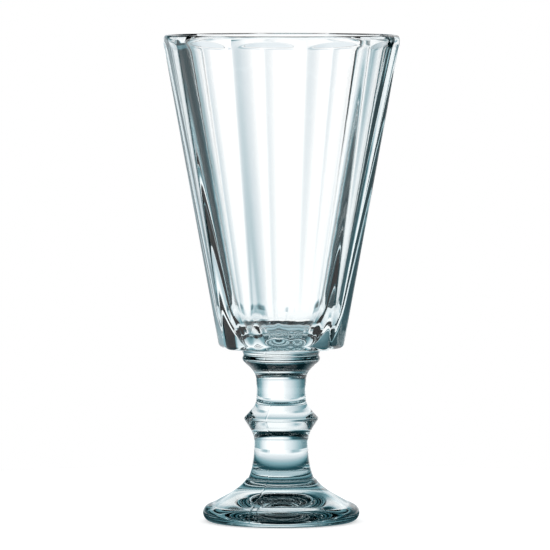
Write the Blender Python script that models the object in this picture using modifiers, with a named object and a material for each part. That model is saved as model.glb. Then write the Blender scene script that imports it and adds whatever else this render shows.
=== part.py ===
"""Stemmed shot glass of clear pressed glass: a panelled bowl, a knopped stem and a domed foot.

The three members are separate bodies, each made in its own way and stuck to the next on a flat face while
hot. Metres, +Z up. The origin is the centre of the ring that the foot stands on, and a panel faces -Y.
"""

import math

import bmesh
import bpy
from mathutils import Matrix

# Heights of the whole glass and of its three members
HEIGHT = 0.1100
BOWL_UNDERSIDE = 0.0392
FOOT_SEAT = 0.0096
JOIN_GAP = 0.0003

# Bowl: flat panels on the outside, a round cavity inside and a round lip
PANELS = 10
RIM_RADIUS = 0.02683
LIP_THICKNESS = 0.0020
LIP_BAND = 0.0024
ARCH_RISE = 0.0011
RIM_ROUND = 0.0009
BASE_CORNER_RADIUS = 0.0141
CORNER_INSET = 0.0001
PANEL_EDGE_ROUND = 0.0014
BASE_EDGE_ROUND = 0.0012
FLOOR_THICKNESS = 0.0049
FLOOR_RADIUS = 0.0096
FLOOR_CORNER = 0.0015
CORNER_RISE = 0.0045
CUTTER_REACH = 0.0020

# Stem: a collar under the bowl, a slim neck, a ridged knop and a shank that flares to the foot
COLLAR_RADIUS = 0.0088
COLLAR_BAND = 0.0022
COLLAR_EDGE = 0.0004
COLLAR_TAPER = 0.0050
NECK_RADIUS = 0.0056
KNOP_RADIUS = 0.00836
KNOP_HEIGHT = 0.0233
KNOP_ROUND = 0.0006
KNOP_UPPER_FLANK = 0.0041
KNOP_LOWER_FLANK = 0.0050
KNOP_UPPER_SLOPE = 45.0
KNOP_LOWER_SLOPE = 31.0
SHANK_RADIUS = 0.0061
FLARE_HEIGHT = 0.0070
FLARE_RADIUS = 0.0074
FLARE_SPREAD = 20.0

# Foot: a dome that runs out to a thick rounded edge, standing on a ring round a dished hollow
FOOT_RADIUS = 0.0177
FOOT_EDGE_ROUND = 0.0020
SEAT_RADIUS = 0.0080
DOME_FALL = 55.0
DOME_RUN_OUT = 25.0
STANDING_RING = 0.0017
HOLLOW_DEPTH = 0.0036

# Pulls at the two ends of each curve, as shares of the length that it spans
COLLAR_PULLS = (0.24, 0.58)
KNOP_UPPER_PULLS = (0.30, 0.30)
KNOP_LOWER_PULLS = (0.40, 0.30)
FLARE_PULLS = (0.40, 0.25)
DOME_PULLS = (0.28, 0.54)

# Facets on round work
RING_STEPS = 60
CURVE_STEPS = 8
ROUND_STEPS = 4

GLASS_COLOUR = (0.86, 0.93, 0.94, 1.0)
GLASS_ROUGHNESS = 0.03
GLASS_IOR = 1.52


def clear_scene():
    for obj in list(bpy.data.objects):
        bpy.data.objects.remove(obj, do_unlink=True)


def new_collection(name):
    collection = bpy.data.collections.new(name)
    bpy.context.scene.collection.children.link(collection)
    return collection


def new_object(name, mesh, collection):
    obj = bpy.data.objects.new(name, mesh)
    collection.objects.link(obj)
    return obj


def hide_helper(obj):
    obj.hide_render = True
    obj.display_type = "WIRE"
    return obj


def heading(degrees):
    """Unit step on the profile: 0 is outwards along the radius and 90 is up."""
    return math.cos(math.radians(degrees)), math.sin(math.radians(degrees))


def moved(point, degrees, distance):
    step = heading(degrees)
    return point[0] + step[0] * distance, point[1] + step[1] * distance


def arc(centre, radius, first, last, steps=ROUND_STEPS):
    """Points on a circle of the profile from one heading to another, both ends included."""
    return [moved(centre, first + (last - first) * i / steps, radius) for i in range(steps + 1)]


def pulled(span, shares):
    return [span * share for share in shares]


def sweep(start, start_heading, end, end_heading, pulls, steps=CURVE_STEPS):
    """Points of a cubic curve that leaves start and reaches end along the given headings, start left out."""
    first = moved(start, start_heading, pulls[0])
    second = moved(end, end_heading, -pulls[1])
    points = []
    for i in range(1, steps + 1):
        t = i / steps
        weights = ((1 - t) ** 3, 3 * t * (1 - t) ** 2, 3 * t * t * (1 - t), t ** 3)
        corners = (start, first, second, end)
        points.append(tuple(sum(w * p[axis] for w, p in zip(weights, corners)) for axis in (0, 1)))
    return points


def turned(name, profile, collection):
    """A solid of revolution, from (radius, height) pairs that run from the axis at the top to the bottom."""
    mesh = bpy.data.meshes.new(name)
    corners = [(radius, 0.0, height) for radius, height in profile]
    mesh.from_pydata(corners, [(i, i + 1) for i in range(len(corners) - 1)], [])
    obj = new_object(name, mesh, collection)
    screw = obj.modifiers.new("turn", "SCREW")
    screw.axis = "Z"
    screw.angle = 2 * math.pi
    screw.steps = RING_STEPS
    screw.render_steps = RING_STEPS
    screw.use_merge_vertices = True
    screw.merge_threshold = 1e-6
    screw.use_smooth_shade = True
    return obj


def add_boolean(obj, operation, other):
    boolean = obj.modifiers.new(operation.lower(), "BOOLEAN")
    boolean.operation = operation
    boolean.object = other
    boolean.solver = "EXACT"


def glass_material(name):
    material = bpy.data.materials.new(name)
    material.use_nodes = True
    shader = material.node_tree.nodes["Principled BSDF"]
    shader.inputs["Base Color"].default_value = GLASS_COLOUR
    shader.inputs["Roughness"].default_value = GLASS_ROUGHNESS
    shader.inputs["Metallic"].default_value = 0.0
    shader.inputs["IOR"].default_value = GLASS_IOR
    shader.inputs["Transmission Weight"].default_value = 1.0
    return material


def panelled_body(collection):
    """The bowl's outside with flat sides that flare at the top, its edges softened as by fire-polishing."""
    half_panel = math.pi / PANELS
    edge_cut = PANEL_EDGE_ROUND * math.tan(half_panel / 2)
    panel_top = HEIGHT - LIP_BAND
    top_corner = RIM_RADIUS - CORNER_INSET + edge_cut
    flare_top = HEIGHT + CUTTER_REACH
    flare = (RIM_RADIUS / math.cos(half_panel) - top_corner) / ARCH_RISE
    outline = [
        (BASE_CORNER_RADIUS + edge_cut, BOWL_UNDERSIDE),
        (top_corner, panel_top),
        (top_corner + flare * (flare_top - panel_top), flare_top),
    ]
    shape = bmesh.new()
    rings = []
    for radius, height in outline:
        placed = Matrix.Translation((0.0, 0.0, height)) @ Matrix.Rotation(half_panel, 4, "Z")
        ring = bmesh.ops.create_circle(shape, cap_ends=False, segments=PANELS, radius=radius, matrix=placed)
        rings.append(ring["verts"])
    for lower, upper in zip(rings, rings[1:]):
        for i in range(PANELS):
            shape.faces.new((lower[i - 1], lower[i], upper[i], upper[i - 1]))
    shape.faces.new(rings[0])
    shape.faces.new(rings[-1])
    bmesh.ops.recalc_face_normals(shape, faces=shape.faces[:])
    widest = max(PANEL_EDGE_ROUND, BASE_EDGE_ROUND)
    weights = shape.edges.layers.float.new("bevel_weight_edge")
    for edge in shape.edges:
        low, high = sorted(corner.co.z for corner in edge.verts)
        if high - low > CUTTER_REACH / 2:
            edge[weights] = PANEL_EDGE_ROUND / widest
        elif edge.verts[0] in rings[0]:
            edge[weights] = BASE_EDGE_ROUND / widest
    mesh = bpy.data.meshes.new("bowl")
    shape.to_mesh(mesh)
    shape.free()
    obj = new_object("bowl", mesh, collection)
    bevel = obj.modifiers.new("soften", "BEVEL")
    bevel.limit_method = "WEIGHT"
    bevel.width = widest
    bevel.segments = ROUND_STEPS
    return obj


def blank_profile():
    """The round blank that bounds the panels. They flare out through it, and its top shows as the lip."""
    below = BOWL_UNDERSIDE - CUTTER_REACH
    rim = arc((RIM_RADIUS - RIM_ROUND, HEIGHT - RIM_ROUND), RIM_ROUND, 90, 0)
    return [(0.0, HEIGHT), *rim, (RIM_RADIUS, below), (0.0, below)]


def cavity_profile():
    """The plunger that presses the inside: it rounds the rim's inner edge and the corner of the floor."""
    floor = BOWL_UNDERSIDE + FLOOR_THICKNESS
    mouth = RIM_RADIUS - LIP_THICKNESS
    lip_round = min(RIM_ROUND, LIP_THICKNESS / 2)
    slope = math.degrees(math.atan2(HEIGHT - floor, mouth - FLOOR_RADIUS))
    mouth_top = (mouth + lip_round, HEIGHT)
    mouth_foot = moved((mouth, HEIGHT), slope, -lip_round)
    mouth_pulls = (lip_round / 2, lip_round / 2)
    mouth_edge = sweep(mouth_top, -90 - slope / 2, mouth_foot, 180 + slope, mouth_pulls, ROUND_STEPS)
    wall_foot = moved((FLOOR_RADIUS, floor), slope, CORNER_RISE)
    floor_edge = (FLOOR_RADIUS - FLOOR_CORNER, floor)
    corner = sweep(wall_foot, 180 + slope, floor_edge, 180, (CORNER_RISE / 2, FLOOR_CORNER / 2))
    above = HEIGHT + CUTTER_REACH
    return [
        (0.0, above),
        (mouth_top[0], above),
        mouth_top,
        *mouth_edge,
        wall_foot,
        *corner,
        (0.0, floor),
    ]


def make_bowl(parts, cutters):
    bowl = panelled_body(parts)
    blank = hide_helper(turned("round_blank", blank_profile(), cutters))
    cavity = hide_helper(turned("cavity_plunger", cavity_profile(), cutters))
    add_boolean(bowl, "INTERSECT", blank)
    add_boolean(bowl, "DIFFERENCE", cavity)
    bowl.data.materials.append(glass_material("bowl_glass"))
    return bowl


def make_stem(parts):
    top = BOWL_UNDERSIDE - JOIN_GAP
    bottom = FOOT_SEAT + JOIN_GAP
    band_foot = (COLLAR_RADIUS, top - COLLAR_BAND)
    neck_top = (NECK_RADIUS, band_foot[1] - COLLAR_TAPER)
    neck_foot = (NECK_RADIUS, KNOP_HEIGHT + KNOP_UPPER_FLANK)
    ridge = arc((KNOP_RADIUS - KNOP_ROUND, KNOP_HEIGHT), KNOP_ROUND, KNOP_UPPER_SLOPE, -KNOP_LOWER_SLOPE)
    upper_heading = KNOP_UPPER_SLOPE - 90
    lower_heading = -90 - KNOP_LOWER_SLOPE
    shank_top = (SHANK_RADIUS, KNOP_HEIGHT - KNOP_LOWER_FLANK)
    flare_top = (SHANK_RADIUS, bottom + FLARE_HEIGHT)
    flare_foot = (FLARE_RADIUS, bottom)
    profile = [
        (0.0, top),
        *arc((COLLAR_RADIUS - COLLAR_EDGE, top - COLLAR_EDGE), COLLAR_EDGE, 90, 0, 2),
        band_foot,
        *sweep(band_foot, -90, neck_top, -90, pulled(COLLAR_TAPER, COLLAR_PULLS)),
        neck_foot,
        *sweep(neck_foot, -90, ridge[0], upper_heading, pulled(KNOP_UPPER_FLANK, KNOP_UPPER_PULLS)),
        *ridge[1:],
        *sweep(ridge[-1], lower_heading, shank_top, -90, pulled(KNOP_LOWER_FLANK, KNOP_LOWER_PULLS)),
        flare_top,
        *sweep(flare_top, -90, flare_foot, FLARE_SPREAD - 90, pulled(FLARE_HEIGHT, FLARE_PULLS)),
        (0.0, bottom),
    ]
    stem = turned("stem", profile, parts)
    stem.data.materials.append(glass_material("stem_glass"))
    return stem


def make_foot(parts):
    edge_centre = (FOOT_RADIUS - FOOT_EDGE_ROUND, FOOT_EDGE_ROUND)
    edge = arc(edge_centre, FOOT_EDGE_ROUND, 90 - DOME_RUN_OUT, -90, 2 * ROUND_STEPS)
    seat_edge = (SEAT_RADIUS, FOOT_SEAT)
    span = edge[0][0] - SEAT_RADIUS
    hollow_radius = edge_centre[0] - STANDING_RING
    hollow_slope = math.atan2(2 * HOLLOW_DEPTH, hollow_radius)
    hollow_edge = (hollow_radius, 0.0)
    third = hollow_radius / 3
    hollow_pulls = (third / math.cos(hollow_slope), third)
    profile = [
        (0.0, FOOT_SEAT),
        seat_edge,
        *sweep(seat_edge, -DOME_FALL, edge[0], -DOME_RUN_OUT, pulled(span, DOME_PULLS)),
        *edge[1:],
        hollow_edge,
        *sweep(hollow_edge, 180 - math.degrees(hollow_slope), (0.0, HOLLOW_DEPTH), 180, hollow_pulls),
    ]
    foot = turned("foot", profile, parts)
    foot.data.materials.append(glass_material("foot_glass"))
    return foot


def main():
    clear_scene()
    parts = new_collection("stemmed_shot_glass")
    cutters = new_collection("cutters")
    make_bowl(parts, cutters)
    make_stem(parts)
    make_foot(parts)


main()
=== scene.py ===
# %% [markdown]
# # A stemmed shot glass of clear pressed glass
# The glass stands on a small domed foot, a short stem with a ridged knop carries the bowl, and the bowl
# has ten flat panels outside and a round hollow inside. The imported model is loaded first. It is a fixed
# frame: sizes that it holds are read from it, so the glass modelled here lies where the solids are.

import math

import bpy
import numpy as np
from mathutils import Matrix, Vector
from mathutils.geometry import interpolate_bezier


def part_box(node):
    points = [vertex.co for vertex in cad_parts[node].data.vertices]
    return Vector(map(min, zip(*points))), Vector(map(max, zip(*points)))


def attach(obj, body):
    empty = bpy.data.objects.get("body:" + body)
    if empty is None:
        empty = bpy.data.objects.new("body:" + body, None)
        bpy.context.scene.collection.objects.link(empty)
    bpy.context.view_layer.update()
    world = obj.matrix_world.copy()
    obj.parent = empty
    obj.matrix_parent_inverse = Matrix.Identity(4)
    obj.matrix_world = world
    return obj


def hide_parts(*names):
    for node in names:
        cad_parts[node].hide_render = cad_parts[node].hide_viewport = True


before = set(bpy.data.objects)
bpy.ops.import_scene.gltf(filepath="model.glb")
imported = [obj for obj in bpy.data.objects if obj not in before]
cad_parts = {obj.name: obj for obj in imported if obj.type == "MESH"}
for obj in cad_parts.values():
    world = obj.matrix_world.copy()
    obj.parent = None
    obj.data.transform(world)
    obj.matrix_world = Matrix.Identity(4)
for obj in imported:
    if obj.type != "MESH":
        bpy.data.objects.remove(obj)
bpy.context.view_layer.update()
print("frame nodes:", sorted(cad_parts))

# %% [markdown]
# A pressed glass comes out of its mould as one body, even where the trade speaks of bowl, stem and
# foot. Three closed meshes would show a mirror at each join, because light that meets the gap at a flat
# angle is thrown back. So the three nodes are replaced by one skin. It is drawn as half of a section
# and spun, as a glass blank is turned.

# %% Sizes that the frame holds
MM = 0.001
bowl_low, bowl_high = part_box("bowl")
_, stem_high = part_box("stem")
_, foot_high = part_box("foot")
HEIGHT = bowl_high.z
UNDERSIDE = bowl_low.z
LIP_RADIUS = bowl_high.x
COLLAR_RADIUS = stem_high.x
FOOT_RADIUS = foot_high.x
print(f"height {HEIGHT / MM:.1f} mm, lip radius {LIP_RADIUS / MM:.2f} mm")
print(f"foot radius {FOOT_RADIUS / MM:.2f} mm, collar radius {COLLAR_RADIUS / MM:.2f} mm")

# %% [markdown]
# Three kinds of line are enough to draw a turned form: straight runs, arcs, and curves with two handles,
# as a turner's template would have. Each gives its points, so a section is put together as one list.

# %% Lines of a section
QUARTER_TURN = 90


def at(radius, height):
    """A point of the section, from a radius and a height in metres."""
    return Vector((radius, height))


def heading(degrees):
    """The direction that leans so many degrees up from outwards."""
    return at(math.cos(math.radians(degrees)), math.sin(math.radians(degrees)))


def run(start, end, steps):
    """Points along a straight line, without its start."""
    return [start.lerp(end, step / steps) for step in range(1, steps + 1)]


def bend(start, handle, far_handle, end, steps):
    """Points along a Bezier curve, without its start."""
    return interpolate_bezier(start, handle, far_handle, end, steps + 1)[1:]


def arc(centre, radius, first, last, steps):
    """Points along an arc between two angles in degrees, with its start."""
    return [centre + radius * heading(first + (last - first) * step / steps) for step in range(steps + 1)]


quarter = arc(at(0, 0), MM, 0, QUARTER_TURN, steps=4)
print("a quarter turn in four steps:", [tuple(round(v / MM, 2) for v in point) for point in quarter])

# %% [markdown]
# A plunger presses the inside of the bowl, so it is a plain round taper. Its end is well rounded and
# comes close to the stem, because the last of a drink should run out. The lip is melted round with a
# flame afterwards, which gives a half round as thick as the wall.

# %% Section of the cavity and the lip
LIP_THICKNESS = 2.0 * MM
FLOOR_THICKNESS = 1.2 * MM
FLOOR_RADIUS = 8.4 * MM
FLOOR_CORNER = 6.0 * MM
CORNER_RISE = 10.0 * MM
CORNER_PULL = 0.56


def cavity_lines():
    """The inside of the bowl, from the axis outwards and up, and the round lip."""
    floor_edge = at(FLOOR_RADIUS, UNDERSIDE + FLOOR_THICKNESS)
    bead = LIP_THICKNESS / 2
    bead_centre = at(LIP_RADIUS - bead, HEIGHT - bead)
    wall = (at(LIP_RADIUS - LIP_THICKNESS, HEIGHT) - floor_edge).normalized()
    inward = at(-wall.y, wall.x)
    flat_end = floor_edge - at(FLOOR_CORNER, 0)
    wall_start = floor_edge + wall * CORNER_RISE
    lines = [at(0, floor_edge.y)]
    lines += run(lines[0], flat_end, steps=6)
    first_handle = flat_end.lerp(floor_edge, CORNER_PULL)
    last_handle = wall_start.lerp(floor_edge, CORNER_PULL)
    lines += bend(flat_end, first_handle, last_handle, wall_start, steps=20)
    lines += run(wall_start, bead_centre + inward * bead, steps=24)
    lip_start = math.degrees(math.atan2(inward.y, inward.x))
    lines += arc(bead_centre, bead, lip_start, 0, steps=16)[1:]
    return lines


print("cavity and lip:", len(cavity_lines()), "points")

# %% [markdown]
# Outside, the blank is a cone through the sharp corners of the panels, and its lower edge is rounded.
# The rows lie close together under the lip, where the panels will run out in arches.

# %% Section of the wall
CORNER_LOW = 14.28 * MM
CORNER_SLOPE = 0.184
ARCH_END = 106.4 * MM
BASE_ROUND = 1.2 * MM
BASE_PULL = 0.58
ARCH_ROWS = 26
WALL_ROWS = 30


def corner_radius(height):
    """Radius of the cone through the panel corners."""
    return CORNER_LOW + CORNER_SLOPE * (height - UNDERSIDE)


def wall_lines():
    """The outside of the blank, from under the lip down to the underside."""
    start = HEIGHT - LIP_THICKNESS / 2
    arch_heights = np.linspace(start, ARCH_END, ARCH_ROWS)[1:]
    wall_heights = np.linspace(ARCH_END, UNDERSIDE + BASE_ROUND, WALL_ROWS)[1:]
    lines = [at(corner_radius(height), height) for height in (*arch_heights, *wall_heights)]
    top = lines[-1]
    foot = at(corner_radius(UNDERSIDE) - BASE_ROUND, UNDERSIDE)
    first_handle = top - at(CORNER_SLOPE, 1) * BASE_ROUND * BASE_PULL
    last_handle = foot + at(BASE_ROUND * BASE_PULL, 0)
    lines += bend(top, first_handle, last_handle, foot, steps=9)
    return lines


UNDERSIDE_RADIUS = wall_lines()[-1].x
print("wall:", len(wall_lines()), "points, underside radius", round(UNDERSIDE_RADIUS / MM, 2), "mm")

# %% [markdown]
# The stem is a turned form: a collar with a shallow groove under the bowl, an ogee down to a slim neck,
# a knop with a sharp ridge, and a shank that flares to the foot. Curves with two handles follow it with
# few points.

# %% Section of the stem
COLLAR_FOOT = 36.9 * MM
COLLAR_FILLET = 0.6 * MM
COLLAR_GROOVE = 0.25 * MM
GROOVE_PULL = 0.4 * MM
NECK_RADIUS = 5.65 * MM
NECK_WAIST = 5.5 * MM
NECK_TOP = 31.9 * MM
NECK_FOOT = 27.4 * MM
KNOP_RADIUS = 8.36 * MM
KNOP_HEIGHT = 23.3 * MM
KNOP_ROUND = 0.6 * MM
KNOP_UPPER_FLANK = 45
KNOP_LOWER_FLANK = -31
SHANK_RADIUS = 6.1 * MM
SHANK_TOP = 18.3 * MM
SHANK_FOOT = 16.6 * MM
FLARE_RADIUS = 7.35 * MM
FLARE_FOOT = 10.0 * MM
OGEE_PULLS = (at(0, -1.2 * MM), at(0, 2.9 * MM))
WAIST_PULL = 1.5 * MM
KNOP_TOP_PULL = at(0.08 * MM, -1.1 * MM)
KNOP_UPPER_PULL = 1.3 * MM
KNOP_LOWER_PULL = 2.0 * MM
SHANK_PULL = at(0, 1.6 * MM)
FLARE_PULLS = (at(0, -2.8 * MM), at(-0.5 * MM, 1.3 * MM))


def collar_lines(collar_top, collar_foot):
    """The collar's edge, with a shallow groove round its middle."""
    groove = at(COLLAR_RADIUS - COLLAR_GROOVE, (collar_top.y + collar_foot.y) / 2)
    pull = at(0, GROOVE_PULL)
    lines = bend(collar_top, collar_top - pull, groove + pull, groove, steps=5)
    lines += bend(groove, groove - pull, collar_foot + pull, collar_foot, steps=5)
    return lines


def knop_lines(neck_foot, shank_top):
    """The knop: a flank that swells out, a rounded ridge and a flank that draws in."""
    centre = at(KNOP_RADIUS - KNOP_ROUND, KNOP_HEIGHT)
    ridge = arc(centre, KNOP_ROUND, KNOP_UPPER_FLANK, KNOP_LOWER_FLANK, steps=8)
    upper_handle = ridge[0] - heading(KNOP_UPPER_FLANK - QUARTER_TURN) * KNOP_UPPER_PULL
    lower_handle = ridge[-1] + heading(KNOP_LOWER_FLANK - QUARTER_TURN) * KNOP_LOWER_PULL
    lines = bend(neck_foot, neck_foot + KNOP_TOP_PULL, upper_handle, ridge[0], steps=12)
    lines += ridge[1:]
    lines += bend(ridge[-1], lower_handle, shank_top + SHANK_PULL, shank_top, steps=13)
    return lines


def stem_lines():
    """The outside from the bowl's underside down to the crease above the foot."""
    seat = at(COLLAR_RADIUS + COLLAR_FILLET, UNDERSIDE)
    seat_corner = at(COLLAR_RADIUS, UNDERSIDE)
    collar_top = at(COLLAR_RADIUS, UNDERSIDE - COLLAR_FILLET)
    collar_foot = at(COLLAR_RADIUS, COLLAR_FOOT)
    neck_top = at(NECK_RADIUS, NECK_TOP)
    neck_foot = at(NECK_RADIUS, NECK_FOOT)
    upper_waist = at(NECK_WAIST, NECK_TOP - WAIST_PULL)
    lower_waist = at(NECK_WAIST, NECK_FOOT + WAIST_PULL)
    shank_top = at(SHANK_RADIUS, SHANK_TOP)
    shank_foot = at(SHANK_RADIUS, SHANK_FOOT)
    flare_foot = at(FLARE_RADIUS, FLARE_FOOT)
    lines = run(at(UNDERSIDE_RADIUS, UNDERSIDE), seat, steps=8)
    lines += bend(seat, seat_corner, seat_corner, collar_top, steps=5)
    lines += collar_lines(collar_top, collar_foot)
    lines += bend(collar_foot, collar_foot + OGEE_PULLS[0], neck_top + OGEE_PULLS[1], neck_top, steps=18)
    lines += bend(neck_top, upper_waist, lower_waist, neck_foot, steps=8)
    lines += knop_lines(neck_foot, shank_top)
    lines += run(shank_top, shank_foot, steps=3)
    first_handle = shank_foot + FLARE_PULLS[0]
    last_handle = flare_foot + FLARE_PULLS[1]
    lines += bend(shank_foot, first_handle, last_handle, flare_foot, steps=12)
    return lines


print("stem:", len(stem_lines()), "points")

# %% [markdown]
# The foot is a dome that leaves the shank at a crease, runs out to a thick round edge and stands on a
# flat ring. Under it is a dished hollow, which keeps the glass from rocking. It is seen through the
# dome as dark ellipses.

# %% Section of the foot
DOME_RADIUS = 8.0 * MM
DOME_TOP = 9.4 * MM
DOME_FALL = -55
DOME_RUN_OUT = -25
DOME_PULLS = (2.4 * MM, 4.6 * MM)
EDGE_ROUND = 2.0 * MM
STANDING_RING = 1.7 * MM
HOLLOW_DEPTH = 3.6 * MM
CREASE_PULLS = (at(0.15 * MM, -0.4 * MM), at(-0.25 * MM, 0.4 * MM))


def hollow_lines(hollow_edge):
    """The dish under the foot, a parabola from its edge to the axis."""
    hollow_top = at(0, HOLLOW_DEPTH)
    third = at(hollow_edge.x / 3, 0)
    first_handle = hollow_edge - third + at(0, HOLLOW_DEPTH * 2 / 3)
    return bend(hollow_edge, first_handle, hollow_top + third, hollow_top, steps=24)


def foot_lines():
    """The outside from the crease over the dome and the edge to the axis underneath."""
    dome_top = at(DOME_RADIUS, DOME_TOP)
    crease = at(FLARE_RADIUS, FLARE_FOOT)
    edge_centre = at(FOOT_RADIUS - EDGE_ROUND, EDGE_ROUND)
    edge = arc(edge_centre, EDGE_ROUND, QUARTER_TURN + DOME_RUN_OUT, -QUARTER_TURN, steps=20)
    hollow_edge = edge[-1] - at(STANDING_RING, 0)
    dome_handle = dome_top + heading(DOME_FALL) * DOME_PULLS[0]
    edge_handle = edge[0] - heading(DOME_RUN_OUT) * DOME_PULLS[1]
    lines = bend(crease, crease + CREASE_PULLS[0], dome_top + CREASE_PULLS[1], dome_top, steps=6)
    lines += bend(dome_top, dome_handle, edge_handle, edge[0], steps=20)
    lines += edge[1:]
    lines += run(edge[-1], hollow_edge, steps=3)
    lines += hollow_lines(hollow_edge)
    return lines


print("foot:", len(foot_lines()), "points")

# %% [markdown]
# A turned shape could come from a Screw modifier. Here the half section is drawn in edit mode, one
# extruded point after another, and spun, because the spin leaves rows and columns of points that the
# panels can be pressed into.

# %% Draw the section and spin it
PANELS = 10
STEPS_PER_PANEL = 32
MERGE = 0.001 * MM


def draw_section(name, lines):
    """A new object that holds the section as a chain of edges."""
    bpy.ops.object.select_all(action="DESELECT")
    bpy.ops.mesh.primitive_plane_add(size=MM)
    piece = bpy.context.object
    piece.name = name
    bpy.ops.object.mode_set(mode="EDIT")
    bpy.ops.mesh.merge(type="CENTER")
    bpy.ops.transform.translate(value=(lines[0].x, 0, lines[0].y))
    for last, point in zip(lines, lines[1:]):
        step = (point.x - last.x, 0, point.y - last.y)
        bpy.ops.mesh.extrude_region_move(TRANSFORM_OT_translate={"value": step})
    return piece


def spin_section(steps):
    """Spins the section that is being edited into a closed skin."""
    bpy.ops.mesh.select_all(action="SELECT")
    bpy.ops.mesh.spin(steps=steps, angle=math.tau, center=(0, 0, 0), axis=(0, 0, 1))
    bpy.ops.mesh.select_all(action="SELECT")
    bpy.ops.mesh.remove_doubles(threshold=MERGE)
    bpy.ops.mesh.normals_make_consistent(inside=False)
    bpy.ops.object.mode_set(mode="OBJECT")


section = cavity_lines() + wall_lines() + stem_lines() + foot_lines()
glass = draw_section("clear_glass_body", section)
spin_section(PANELS * STEPS_PER_PANEL)
print("spun:", len(glass.data.vertices), "points from a section of", len(section))

# %% [markdown]
# The mould presses ten flat panels into the outside of the bowl. Bisect could cut them, but it leaves
# sharp edges and long thin faces, which show in glass. So the points are moved: first the columns are
# crowded towards the panel edges, then each point of the wall goes in to a ten-sided outline with
# softened corners.

# %% Press the panels into the wall
HALF_PANEL = math.pi / PANELS
EDGE_CROWDING = 1.6
EDGE_SOFTNESS = 0.25 * MM
LEAST_COSINE = 0.01


def read_points(piece):
    """Angle from -Y, radius and height of every point."""
    flat = np.empty(len(piece.data.vertices) * 3)
    piece.data.vertices.foreach_get("co", flat)
    x, y, height = flat.reshape(-1, 3).T
    return np.arctan2(x, -y), np.hypot(x, y), height.copy()


def write_points(piece, angle, radius, height):
    """Puts every point back from its angle, radius and height."""
    places = np.stack([radius * np.sin(angle), -radius * np.cos(angle), height], axis=1)
    piece.data.vertices.foreach_set("co", places.ravel())
    piece.data.update()


def across(angle):
    """Where a point lies on its panel: -1 and 1 at the panel's edges, 0 in the middle."""
    return (angle / HALF_PANEL + 1) % 2 - 1


def crowd(angle):
    """Moves the columns of points towards the panel edges."""
    share = across(angle)
    moved = np.sign(share) * (1 - (1 - np.abs(share)) ** EDGE_CROWDING)
    return angle + (moved - share) * HALF_PANEL


def panel_radius(angle, middle):
    """Radius of a soft-cornered polygon whose sides pass at the given distance from the axis."""
    share = across(angle) * HALF_PANEL
    power = np.maximum(middle, MM) / EDGE_SOFTNESS
    neighbours = [np.cos(share + side * 2 * HALF_PANEL) for side in (-1, 0, 1)]
    total = sum(np.maximum(cosine, LEAST_COSINE) ** power for cosine in neighbours)
    return middle * total ** (-1 / power)


panel_width = 2 * corner_radius(UNDERSIDE) * math.sin(HALF_PANEL)
print(f"{PANELS} panels, each {panel_width / MM:.1f} mm wide at the underside")

# %% [markdown]
# At its top each panel curves out and runs through the round lip, and the two meet in an arch. The lip
# and the panels are both limits, and the wall keeps to the nearer one, with a soft turn between them.

# %% Run the panels out under the lip
FLARE_START = 106.6 * MM
FLARE_RISE = 2.0 * MM
FLARE_OUT = 0.4 * MM
LIP_FLATNESS = 0.6 * MM
ARCH_SOFTNESS = 0.08 * MM
COUNTED_SHARE = 0.5


def smooth_step(low, high, value):
    """0 below low, 1 above high, and an even turn between."""
    share = np.clip((value - low) / (high - low), 0, 1)
    return share * share * (3 - 2 * share)


def flare(height):
    """How far the panels have curved out at a height."""
    return FLARE_OUT * np.maximum((height - FLARE_START) / FLARE_RISE, 0) ** 2


def within(radius, limit, softness):
    """Keeps a radius within a limit, with a soft turn."""
    power = limit / softness
    return radius * (1 + (radius / limit) ** power) ** (-1 / power)


angle, radius, height = read_points(glass)
angle = crowd(angle)
floor_height = UNDERSIDE + FLOOR_THICKNESS
cavity_slope = (LIP_RADIUS - LIP_THICKNESS - FLOOR_RADIUS) / (HEIGHT - floor_height)
cavity_radius = FLOOR_RADIUS + cavity_slope * (height - floor_height)
bead_start = HEIGHT - LIP_THICKNESS / 2 - MERGE
lip_radius = LIP_RADIUS - LIP_FLATNESS * (1 - across(angle) ** 2)
wall_middle = (cavity_radius + corner_radius(height)) / 2
outside = (height > UNDERSIDE - MERGE) & (height < bead_start) & (radius > wall_middle)
panel_middle = radius * math.cos(HALF_PANEL) + flare(height)
pressed = within(panel_radius(angle, panel_middle), lip_radius, ARCH_SOFTNESS)
root = COLLAR_RADIUS + COLLAR_FILLET
share = outside * np.clip((radius - root) / (UNDERSIDE_RADIUS - root), 0, 1)
radius = radius + (pressed - radius) * share
on_lip = (height >= bead_start) * np.clip((radius - LIP_RADIUS) / LIP_THICKNESS + 1, 0, 1)
radius = radius + (lip_radius - LIP_RADIUS) * on_lip
print("pressed points:", int((share > COUNTED_SHARE).sum()))

# %% [markdown]
# The cold plunger chills the glass where its end turns, and leaves a ring of fine waves there. Whole
# numbers of waves of different lengths add up to a line that looks uneven and still closes on itself.

# %% Wave the end of the cavity
CHILL_HEIGHT = 44.2 * MM
CHILL_SPREAD = 1.3 * MM
CHILL_DEPTH = 0.04 * MM
CHILL_WAVES = (7, 13, 19, 31)

cavity = (height > floor_height - MERGE) & (radius < cavity_radius + CHILL_DEPTH)
wave = sum(np.sin(count * angle + count) for count in CHILL_WAVES)
chilled = np.exp(-((height - CHILL_HEIGHT) / CHILL_SPREAD) ** 2) * cavity
height = height + CHILL_DEPTH * wave * chilled
print("chilled points:", int((chilled > COUNTED_SHARE).sum()))

# %% [markdown]
# A mould in two halves leaves a seam. On the bowl it hides in a panel edge, and on the stem and the
# foot it stands up as a fine ridge.

# %% Raise the mould seam
SEAM_ANGLES = (-HALF_PANEL, math.pi - HALF_PANEL)
SEAM_WIDTH = 0.16 * MM
SEAM_HEIGHT = 0.07 * MM
SEAM_TOP_FADE = 1.0 * MM
SEAM_FOOT_FADE = (0.3 * MM, 1.5 * MM)
SEAM_LEAST_RADIUS = 2.0 * MM

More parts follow.
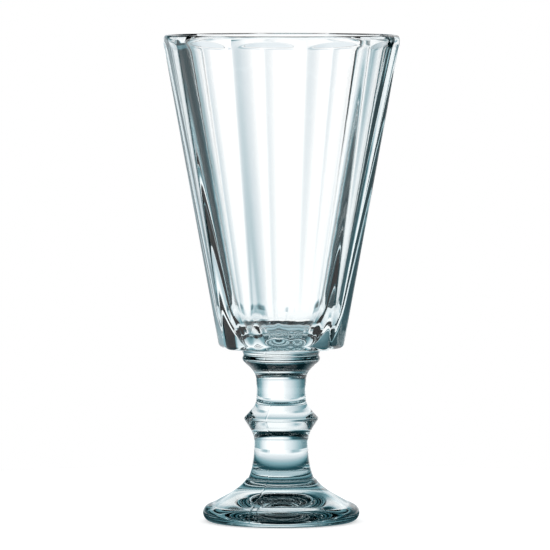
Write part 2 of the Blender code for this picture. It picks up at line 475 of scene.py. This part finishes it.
below_bowl = smooth_step(0, SEAM_TOP_FADE, UNDERSIDE - height)
above_floor = smooth_step(*SEAM_FOOT_FADE, height)
for seam_angle in SEAM_ANGLES:
    aside = np.abs((angle - seam_angle + math.pi) % math.tau - math.pi) * radius
    ridge = np.exp(-(aside / SEAM_WIDTH) ** 2) * (radius > SEAM_LEAST_RADIUS)
    radius = radius + SEAM_HEIGHT * ridge * below_bowl * above_floor
write_points(glass, angle, radius, height)
bpy.ops.object.select_all(action="DESELECT")
glass.select_set(True)
bpy.context.view_layer.objects.active = glass
bpy.ops.object.shade_smooth()
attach(glass, "root")
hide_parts("bowl", "stem", "foot")
print("triangles:", sum(len(face.vertices) - 2 for face in glass.data.polygons))


# %% [markdown]
# A finish is built from nodes. One small class stands for a socket, so that sums on values can be
# written as sums and every other node is added by one method.

# %% A socket that can be reckoned with
def set_stops(ramp, stops):
    """Gives a colour ramp its stops, in order. The first lies at 0 and the last at 1."""
    for place, _ in stops[1:-1]:
        ramp.elements.new(place)
    for stop, (_, colour) in zip(ramp.elements, stops):
        stop.color = (*colour, 1)


class Wire:
    """A node's output in a tree."""

    def __init__(self, tree, socket=None):
        self.tree = tree
        self.socket = socket

    def node(self, kind, settings=None, output=0, **inputs):
        """Adds a node, sets it, feeds its sockets by name (i0 is the first) and gives an output."""
        made = self.tree.nodes.new(kind)
        for name, value in (settings or {}).items():
            if name == "stops":
                set_stops(made.color_ramp, value)
            else:
                setattr(made, name, value)
        for name, value in inputs.items():
            numbered = name[1:].isdigit()
            socket = made.inputs[int(name[1:]) if numbered else name.replace("_", " ")]
            if isinstance(value, Wire):
                self.tree.links.new(value.socket, socket)
            else:
                socket.default_value = value
        return Wire(self.tree, made.outputs[output] if made.outputs else None)

    def maths(self, operation, first, second):
        """Two values put together by one operation."""
        return self.node("ShaderNodeMath", {"operation": operation}, i0=first, i1=second)

    def __add__(self, other):
        return self.maths("ADD", self, other)

    def __radd__(self, other):
        return self.maths("ADD", other, self)

    def __sub__(self, other):
        return self.maths("SUBTRACT", self, other)

    def __rsub__(self, other):
        return self.maths("SUBTRACT", other, self)

    def __mul__(self, other):
        return self.maths("MULTIPLY", self, other)

    def __rmul__(self, other):
        return self.maths("MULTIPLY", other, self)

    def ramp(self, stops):
        """A value by straight runs between (place, value) stops, held level beyond the ends."""
        low, high = stops[0][0], stops[-1][0]
        share = self.node("ShaderNodeMapRange", Value=self, From_Min=low, From_Max=high)
        greys = [((place - low) / (high - low), (value, value, value)) for place, value in stops]
        return self.node("ShaderNodeValToRGB", {"stops": greys}, Fac=share)

    def blend(self, low, high):
        """From low to high as this value goes from 0 to 1."""
        return self * (high - low) + low

    def soft_step(self, edge, soft):
        """0 below an edge and 1 above it, with a soft turn."""
        return self.node("ShaderNodeMapRange", {"interpolation_type": "SMOOTHSTEP"}, Value=self,
                         From_Min=edge - soft, From_Max=edge + soft)


def fresh_tree(owner):
    """An empty node tree of a material or a world."""
    owner.use_nodes = True
    owner.node_tree.nodes.clear()
    return Wire(owner.node_tree)


# %% [markdown]
# Soda-lime glass is clear, bends light by 1.52 and is faintly blue-green where it is thick, which a
# volume that absorbs gives. Pressed glass isn't quite even: it has long faint ripples from the cold
# mould, which a bump adds, and use leaves patches that are a touch less glossy.

# %% Clear pressed glass
WHITE = (1, 1, 1, 1)
GLASS_IOR = 1.52
GLASS_TINT = (0.35, 0.75, 0.78, 1)
GLASS_DENSITY = 8.0
RIPPLE_SCALE = 160
RIPPLE_DETAIL = 1.0
RIPPLE_DEPTH = 0.02 * MM
WEAR_SCALE = 60
WEAR_DETAIL = 3.0
WEAR = [(0.45, 0.0), (0.75, 0.012)]


def pressed_glass():
    """Clear glass with ripples, faint wear and a tint where it is thick."""
    material = bpy.data.materials.new("clear_pressed_glass")
    tree = fresh_tree(material)
    place = tree.node("ShaderNodeTexCoord", output="Object")
    ripple = tree.node("ShaderNodeTexNoise", Vector=place, Scale=RIPPLE_SCALE, Detail=RIPPLE_DETAIL)
    normal = tree.node("ShaderNodeBump", Height=ripple, Strength=1.0, Distance=RIPPLE_DEPTH)
    patches = tree.node("ShaderNodeTexNoise", Vector=place, Scale=WEAR_SCALE, Detail=WEAR_DETAIL)
    surface = tree.node("ShaderNodeBsdfPrincipled", Base_Color=WHITE, Roughness=patches.ramp(WEAR),
                        IOR=GLASS_IOR, Transmission_Weight=1.0, Normal=normal)
    volume = tree.node("ShaderNodeVolumeAbsorption", Color=GLASS_TINT, Density=GLASS_DENSITY)
    tree.node("ShaderNodeOutputMaterial", Surface=surface, Volume=volume)
    return material


glass.data.materials.append(pressed_glass())
print("finish:", glass.data.materials[0].name)

# %% [markdown]
# The camera stands a little above the rim and far off, with a long lens, a few degrees to the right of
# a panel's middle. The picture is 550 pixels square, and a pixel at the axis of the glass is 0.226 mm.

# %% Camera
FRAME_PIXELS = 550
PIXEL = 0.2259 * MM
AXIS_PIXEL = 281.2
STAND_PIXEL = 521.8
CAMERA_AZIMUTH = 6.5
CAMERA_DISTANCE = 1.308
CAMERA_HEIGHT = 130.5 * MM
CLIP_START = 0.01


def make_camera():
    """A camera that frames the glass as the photograph does."""
    turn = Matrix.Rotation(math.radians(CAMERA_AZIMUTH), 3, "Z")
    eye = turn @ Vector((0, -CAMERA_DISTANCE, 0)) + Vector((0, 0, CAMERA_HEIGHT))
    middle = FRAME_PIXELS / 2
    aim = turn @ Vector(((middle - AXIS_PIXEL) * PIXEL, 0, (STAND_PIXEL - middle) * PIXEL))
    camera = bpy.data.objects.new("camera", bpy.data.cameras.new("camera"))
    bpy.context.scene.collection.objects.link(camera)
    camera.location = eye
    camera.rotation_euler = (aim - eye).to_track_quat("-Z", "Y").to_euler()
    camera.data.lens = camera.data.sensor_width / 2 * (aim - eye).length / (middle * PIXEL)
    camera.data.clip_start = CLIP_START
    bpy.context.scene.camera = camera
    return camera


camera = make_camera()
print(f"camera: lens {camera.data.lens:.0f} mm")

# %% [markdown]
# Clear glass is seen only by what it bends into view. It is lit from behind by a white wall and a
# bright strip of table. Dark flags left and right of them and a dark ceiling draw its edges. Directions
# are told by how far they lie aside of the camera's aim and how far they rise. The camera itself sees
# white all round.

# %% Studio
DEGREES = 180 / math.pi
WALL = [(-180, 0.95), (-76, 0.95), (-69, 0.1), (-40, 0.25), (-25, 0.5), (-15, 0.7), (-9, 0.8),
        (-5, 0.9), (-2, 1.0), (20, 1.0), (31, 0.75), (42, 0.4), (58, 0.3), (65, 0.1), (75, 0.6),
        (85, 0.95), (180, 0.95)]
TABLE = [(-180, 0.95), (-80, 0.95), (-72, 0.1), (-60, 0.02), (-28, 0.02), (-14, 0.25), (-7, 0.9),
         (0, 1.0), (12, 1.0), (18, 0.3), (24, 0.03), (66, 0.03), (80, 0.6), (95, 0.95), (180, 0.95)]
TABLE_RISE = -14
TABLE_SOFT = 1.5
NEAR_TABLE = 0.9
NEAR_TABLE_RISE = -22
LEFT_RISE = [(0, 1.0), (4, 0.75), (6, 0.6), (9, 0.2), (14, 0.1), (20, 0.2), (28, 0.1), (34, 0.0)]
RIGHT_RISE = [(0, 1.0), (4, 0.75), (9, 0.75), (12, 1.0), (20, 1.0), (25, 0.6), (28, 0.05), (34, 0.0)]
BACK_RISE = [(0, 1.0), (3, 0.02)]
WALL_STRENGTH = 1.15
GLASS_BOUNCES = 32
RIGHT_START = -14
RIGHT_SOFT = 6
BACK_START = 68
BACK_SOFT = 12
# Teal-tinted colours for light levels, from dark to white: of the world's light and of the painted shade
# on the floor.
TEAL_LIGHT_LEVELS = [(0.0, (0.0, 0.002, 0.003)), (0.1, (0.028, 0.104, 0.128)), (0.38, (0.22, 0.38, 0.425)),
              (0.7, (0.635, 0.7, 0.735)), (1.0, (1.0, 1.0, 1.0))]


def turn_to_camera(tree, vector):
    """How far a vector lies aside of the camera's aim, in degrees, and its height."""
    turned = tree.node("ShaderNodeVectorRotate", {"rotation_type": "Z_AXIS"}, Vector=vector,
                       Angle=-math.radians(CAMERA_AZIMUTH))
    x, y, z = (tree.node("ShaderNodeSeparateXYZ", output=axis, Vector=turned) for axis in "XYZ")
    return tree.maths("ARCTAN2", x, y) * DEGREES, z


def studio():
    """A world that is white to the camera and flagged to the glass."""
    world = bpy.data.worlds.new("studio")
    bpy.context.scene.world = world
    tree = fresh_tree(world)
    aside, height = turn_to_camera(tree, tree.node("ShaderNodeTexCoord", output="Generated"))
    rise = tree.node("ShaderNodeMath", {"operation": "ARCSINE"}, i0=height) * DEGREES
    away = tree.node("ShaderNodeMath", {"operation": "ABSOLUTE"}, i0=aside)
    behind = away.soft_step(BACK_START, BACK_SOFT)
    right = aside.soft_step(RIGHT_START, RIGHT_SOFT)
    front = right.blend(rise.ramp(LEFT_RISE), rise.ramp(RIGHT_RISE))
    table = rise.soft_step(NEAR_TABLE_RISE, TABLE_SOFT).blend(NEAR_TABLE, aside.ramp(TABLE))
    level = rise.soft_step(TABLE_RISE, TABLE_SOFT).blend(table, aside.ramp(WALL))
    light = level * behind.blend(front, rise.ramp(BACK_RISE))
    colour = tree.node("ShaderNodeValToRGB", {"stops": TEAL_LIGHT_LEVELS}, Fac=light)
    seen = tree.node("ShaderNodeLightPath", output="Is Camera Ray")
    spread = tree.node("ShaderNodeLightPath", output="Is Diffuse Ray")
    flagged = tree.node("ShaderNodeBackground", Color=colour, Strength=WALL_STRENGTH)
    white = tree.node("ShaderNodeBackground", Color=WHITE, Strength=1.0)
    mixed = tree.node("ShaderNodeMixShader", Fac=seen + spread, i1=flagged, i2=white)
    tree.node("ShaderNodeOutputWorld", Surface=mixed)


studio()
scene = bpy.context.scene
scene.view_settings.view_transform = "Standard"
scene.cycles.max_bounces = GLASS_BOUNCES
scene.cycles.transmission_bounces = GLASS_BOUNCES
print("studio ready")

# %% [markdown]
# The floor is a plain pale disc. The camera sees it white and with the shadow of the glass. The glass
# sees a painted shade on it instead, under the stem and in a ring round the foot, and further off a
# painted strip of light that runs straight back between two softer painted flags.

# %% Floor
FLOOR_DISC = 140 * MM
FLOOR_DROP = 0.05 * MM
FLOOR_SIDES = 96
# Painted shade that only the glass sees on the floor, by distance from the axis: dark under the stem,
# lighter round it, dark again in a ring round the foot, and white further off.
PAINTED_FLOOR_SHADE = [(5 * MM, 0.04), (8 * MM, 0.55), (13 * MM, 0.55), (18 * MM, 0.06), (30 * MM, 0.06),
               (40 * MM, 0.35), (60 * MM, 0.7), (100 * MM, 1.0)]
STRIP_START = 96 * MM
STRIP_SOFT = 12 * MM
# A painted strip of light on the floor straight back from the glass, with darker painted flags on either
# side, from STRIP_START outwards.
PAINTED_LIGHT_STRIP = [(-180, 0.9), (-40, 0.8), (-28, 0.45), (-17, 0.45), (-11, 0.8), (-4, 1.0), (16, 1.0),
               (22, 0.45), (28, 0.45), (40, 0.8), (180, 0.9)]
FLOOR_GLOW = 0.45
FLOOR_PAPER = (0.8, 0.8, 0.8, 1)


def make_floor():
    """A disc that is white to the camera and shows the glass a painted shade and painted light."""
    bpy.ops.object.select_all(action="DESELECT")
    bpy.ops.mesh.primitive_circle_add(vertices=FLOOR_SIDES, radius=FLOOR_DISC, fill_type="NGON",
                                      location=(0, 0, -FLOOR_DROP))
    floor = bpy.context.object
    floor.name = "floor"
    material = bpy.data.materials.new("pale_floor")
    tree = fresh_tree(material)
    place = tree.node("ShaderNodeTexCoord", output="Object")
    reach = tree.node("ShaderNodeVectorMath", {"operation": "LENGTH"}, output="Value", i0=place)
    aside, _ = turn_to_camera(tree, place)
    # Painted light: the bright strip and its darker painted flags, further off than STRIP_START.
    strip = reach.soft_step(STRIP_START, STRIP_SOFT).blend(1.0, aside.ramp(PAINTED_LIGHT_STRIP))
    # Painted shade by distance from the axis, times the painted strip of light.
    light = reach.ramp(PAINTED_FLOOR_SHADE) * strip
    colour = tree.node("ShaderNodeValToRGB", {"stops": TEAL_LIGHT_LEVELS}, Fac=light)
    # The painted shade and light glow for the glass only; the camera sees the white floor with the real
    # shadow.
    shade = tree.node("ShaderNodeEmission", Color=colour, Strength=WALL_STRENGTH)
    glow = tree.node("ShaderNodeEmission", Color=WHITE, Strength=FLOOR_GLOW)
    paper = tree.node("ShaderNodeBsdfDiffuse", Color=FLOOR_PAPER)
    white = tree.node("ShaderNodeAddShader", i0=glow, i1=paper)
    seen = tree.node("ShaderNodeLightPath", output="Is Camera Ray")
    mixed = tree.node("ShaderNodeMixShader", Fac=seen, i1=shade, i2=white)
    tree.node("ShaderNodeOutputMaterial", Surface=mixed)
    floor.data.materials.append(material)


make_floor()
print("floor ready")
